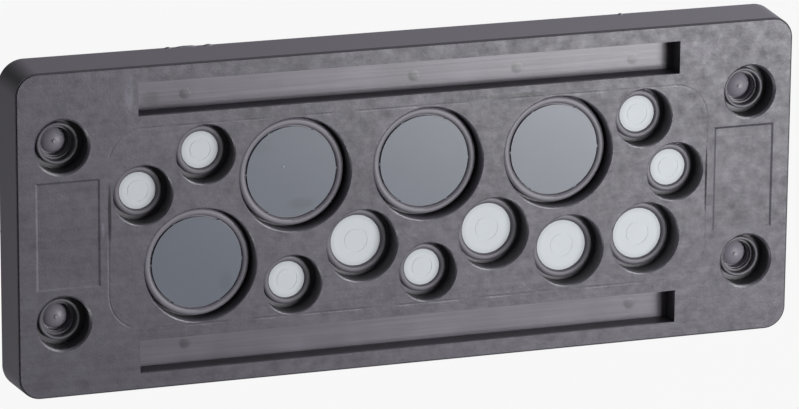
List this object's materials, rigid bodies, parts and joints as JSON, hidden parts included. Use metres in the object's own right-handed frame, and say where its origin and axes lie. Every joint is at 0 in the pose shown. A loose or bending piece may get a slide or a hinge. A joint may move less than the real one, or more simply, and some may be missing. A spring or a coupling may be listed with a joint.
{
  "type": "cable entry plate",
  "caption": "Flat rectangular cable entry plate with round recessed membranes of several sizes, long windows and corner screw holes, for a cut-out in a cabinet wall.",
  "frame": {"origin": "centre of the panel cut-out, in the plane of the panel's front that the plate seats on", "axes": "+X along the plate, +Y across it towards the row of three large membranes, +Z out of the front face"},
  "size_m": [0.1476, 0.0602, 0.016],
  "materials": {
    "dark_elastomer": "matt, moulded",
    "dark_polyamide": "satin, moulded",
    "slate_elastomer": "smooth, moulded",
    "light_grey_elastomer": "soft matt, moulded"
  },
  "bodies": {
    "root": {"sealing_body": "dark_elastomer", "snap_frame": "dark_polyamide", "large_membrane_1": "slate_elastomer", "large_membrane_2": "slate_elastomer", "large_membrane_3": "slate_elastomer", "large_membrane_4": "slate_elastomer", "medium_membrane_1": "light_grey_elastomer", "medium_membrane_2": "light_grey_elastomer", "medium_membrane_3": "light_grey_elastomer", "medium_membrane_4": "light_grey_elastomer", "small_membrane_1": "light_grey_elastomer", "small_membrane_2": "light_grey_elastomer", "small_membrane_3": "light_grey_elastomer", "small_membrane_4": "light_grey_elastomer", "small_membrane_5": "light_grey_elastomer", "small_membrane_6": "light_grey_elastomer"}
  },
  "joints": []
}
